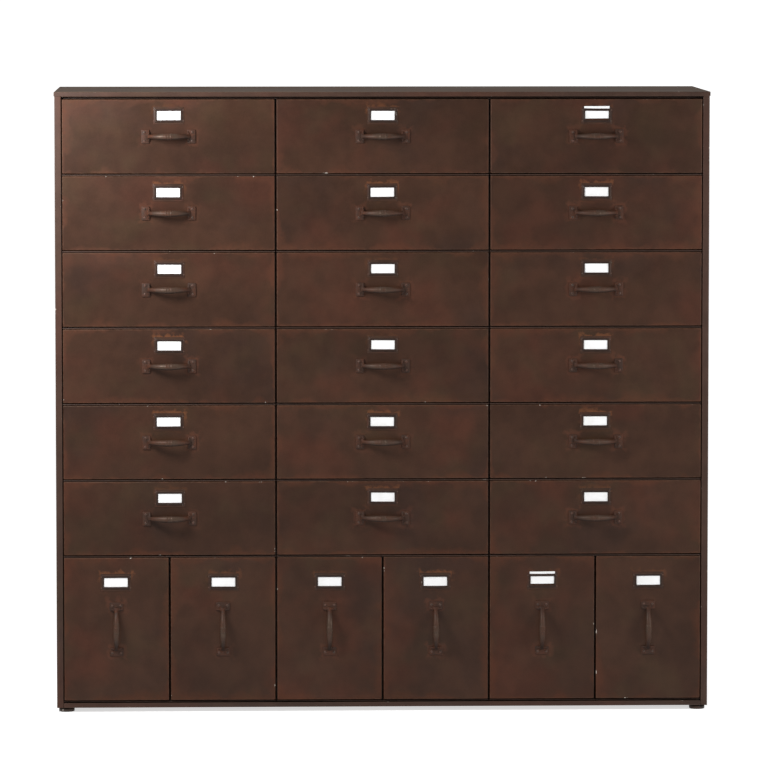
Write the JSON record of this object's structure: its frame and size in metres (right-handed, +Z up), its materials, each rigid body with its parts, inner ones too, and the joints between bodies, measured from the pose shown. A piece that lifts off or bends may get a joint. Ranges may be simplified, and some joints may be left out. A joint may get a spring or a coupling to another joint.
{
  "type": "steel drawer cabinet",
  "caption": "Wide free-standing steel cabinet of sliding drawers: rows of shallow drawers over a row of deep ones, each with a bow pull and a label holder.",
  "frame": {"origin": "on the floor, under the middle of the whole object's box with the pulls included", "axes": "+Z up; the drawers open towards -Y; +X is to the right of a person who faces the drawers"},
  "size_m": [1.503, 0.4856, 1.427],
  "materials": {
    "casing_paint": "satin brown enamel, mottled and worn on its edges",
    "rack_paint": "thin dull brown enamel",
    "drawer_paint": "satin brown enamel, mottled, with rust coming through at its edges",
    "pull_iron": "aged bronze-brown cast iron, rubbed bright on the grip",
    "foot_steel": "dull dark brown, a little rusty",
    "label_holder": "pressed steel, rubbed brown",
    "label_card": "matte off-white card",
    "screw_steel": "dull, a little rusty"
  },
  "bodies": {
    "casing": {"left_side_panel": "casing_paint", "right_side_panel": "casing_paint", "top_panel": "casing_paint", "bottom_panel": "casing_paint", "back_panel": "casing_paint", "front_left_foot": "foot_steel", "front_right_foot": "foot_steel", "rear_left_foot": "foot_steel", "rear_right_foot": "foot_steel", "left_rack": "rack_paint", "middle_rack": "rack_paint", "right_rack": "rack_paint"},
    "wide_r1_c1": {"wide_r1_c1_drawer": "drawer_paint", "wide_r1_c1_pull": "pull_iron"},
    "wide_r2_c1": {"wide_r2_c1_drawer": "drawer_paint", "wide_r2_c1_pull": "pull_iron"},
    "wide_r3_c1": {"wide_r3_c1_drawer": "drawer_paint", "wide_r3_c1_pull": "pull_iron"},
    "wide_r4_c1": {"wide_r4_c1_drawer": "drawer_paint", "wide_r4_c1_pull": "pull_iron"},
    "wide_r5_c1": {"wide_r5_c1_drawer": "drawer_paint", "wide_r5_c1_pull": "pull_iron"},
    "wide_r6_c1": {"wide_r6_c1_drawer": "drawer_paint", "wide_r6_c1_pull": "pull_iron"},
    "deep_1": {"deep_1_drawer": "drawer_paint", "deep_1_pull": "pull_iron"},
    "deep_2": {"deep_2_drawer": "drawer_paint", "deep_2_pull": "pull_iron"},
    "wide_r1_c2": {"wide_r1_c2_drawer": "drawer_paint", "wide_r1_c2_pull": "pull_iron"},
    "wide_r2_c2": {"wide_r2_c2_drawer": "drawer_paint", "wide_r2_c2_pull": "pull_iron"},
    "wide_r3_c2": {"wide_r3_c2_drawer": "drawer_paint", "wide_r3_c2_pull": "pull_iron"},
    "wide_r4_c2": {"wide_r4_c2_drawer": "drawer_paint", "wide_r4_c2_pull": "pull_iron"},
    "wide_r5_c2": {"wide_r5_c2_drawer": "drawer_paint", "wide_r5_c2_pull": "pull_iron"},
    "wide_r6_c2": {"wide_r6_c2_drawer": "drawer_paint", "wide_r6_c2_pull": "pull_iron"},
    "deep_3": {"deep_3_drawer": "drawer_paint", "deep_3_pull": "pull_iron"},
    "deep_4": {"deep_4_drawer": "drawer_paint", "deep_4_pull": "pull_iron"},
    "wide_r1_c3": {"wide_r1_c3_drawer": "drawer_paint", "wide_r1_c3_pull": "pull_iron"},
    "wide_r2_c3": {"wide_r2_c3_drawer": "drawer_paint", "wide_r2_c3_pull": "pull_iron"},
    "wide_r3_c3": {"wide_r3_c3_drawer": "drawer_paint", "wide_r3_c3_pull": "pull_iron"},
    "wide_r4_c3": {"wide_r4_c3_drawer": "drawer_paint", "wide_r4_c3_pull": "pull_iron"},
    "wide_r5_c3": {"wide_r5_c3_drawer": "drawer_paint", "wide_r5_c3_pull": "pull_iron"},
    "wide_r6_c3": {"wide_r6_c3_drawer": "drawer_paint", "wide_r6_c3_pull": "pull_iron"},
    "deep_5": {"deep_5_drawer": "drawer_paint", "deep_5_pull": "pull_iron"},
    "deep_6": {"deep_6_drawer": "drawer_paint", "deep_6_pull": "pull_iron"}
  },
  "joints": [
    {"name": "wide_r1_c1_slide", "type": "slide", "parent": "casing", "child": "wide_r1_c1", "axis": [0, -1, 0], "range_m": [0, 0.33]},
    {"name": "wide_r2_c1_slide", "type": "slide", "parent": "casing", "child": "wide_r2_c1", "axis": [0, -1, 0], "range_m": [0, 0.33]},
    {"name": "wide_r3_c1_slide", "type": "slide", "parent": "casing", "child": "wide_r3_c1", "axis": [0, -1, 0], "range_m": [0, 0.33]},
    {"name": "wide_r4_c1_slide", "type": "slide", "parent": "casing", "child": "wide_r4_c1", "axis": [0, -1, 0], "range_m": [0, 0.33]},
    {"name": "wide_r5_c1_slide", "type": "slide", "parent": "casing", "child": "wide_r5_c1", "axis": [0, -1, 0], "range_m": [0, 0.33]},
    {"name": "wide_r6_c1_slide", "type": "slide", "parent": "casing", "child": "wide_r6_c1", "axis": [0, -1, 0], "range_m": [0, 0.33]},
    {"name": "deep_1_slide", "type": "slide", "parent": "casing", "child": "deep_1", "axis": [0, -1, 0], "range_m": [0, 0.33]},
    {"name": "deep_2_slide", "type": "slide", "parent": "casing", "child": "deep_2", "axis": [0, -1, 0], "range_m": [0, 0.33]},
    {"name": "wide_r1_c2_slide", "type": "slide", "parent": "casing", "child": "wide_r1_c2", "axis": [0, -1, 0], "range_m": [0, 0.33]},
    {"name": "wide_r2_c2_slide", "type": "slide", "parent": "casing", "child": "wide_r2_c2", "axis": [0, -1, 0], "range_m": [0, 0.33]},
    {"name": "wide_r3_c2_slide", "type": "slide", "parent": "casing", "child": "wide_r3_c2", "axis": [0, -1, 0], "range_m": [0, 0.33]},
    {"name": "wide_r4_c2_slide", "type": "slide", "parent": "casing", "child": "wide_r4_c2", "axis": [0, -1, 0], "range_m": [0, 0.33]},
    {"name": "wide_r5_c2_slide", "type": "slide", "parent": "casing", "child": "wide_r5_c2", "axis": [0, -1, 0], "range_m": [0, 0.33]},
    {"name": "wide_r6_c2_slide", "type": "slide", "parent": "casing", "child": "wide_r6_c2", "axis": [0, -1, 0], "range_m": [0, 0.33]},
    {"name": "deep_3_slide", "type": "slide", "parent": "casing", "child": "deep_3", "axis": [0, -1, 0], "range_m": [0, 0.33]},
    {"name": "deep_4_slide", "type": "slide", "parent": "casing", "child": "deep_4", "axis": [0, -1, 0], "range_m": [0, 0.33]},
    {"name": "wide_r1_c3_slide", "type": "slide", "parent": "casing", "child": "wide_r1_c3", "axis": [0, -1, 0], "range_m": [0, 0.33]},
    {"name": "wide_r2_c3_slide", "type": "slide", "parent": "casing", "child": "wide_r2_c3", "axis": [0, -1, 0], "range_m": [0, 0.33]},
    {"name": "wide_r3_c3_slide", "type": "slide", "parent": "casing", "child": "wide_r3_c3", "axis": [0, -1, 0], "range_m": [0, 0.33]},
    {"name": "wide_r4_c3_slide", "type": "slide", "parent": "casing", "child": "wide_r4_c3", "axis": [0, -1, 0], "range_m": [0, 0.33]},
    {"name": "wide_r5_c3_slide", "type": "slide", "parent": "casing", "child": "wide_r5_c3", "axis": [0, -1, 0], "range_m": [0, 0.33]},
    {"name": "wide_r6_c3_slide", "type": "slide", "parent": "casing", "child": "wide_r6_c3", "axis": [0, -1, 0], "range_m": [0, 0.33]},
    {"name": "deep_5_slide", "type": "slide", "parent": "casing", "child": "deep_5", "axis": [0, -1, 0], "range_m": [0, 0.33]},
    {"name": "deep_6_slide", "type": "slide", "parent": "casing", "child": "deep_6", "axis": [0, -1, 0], "range_m": [0, 0.33]}
  ]
}
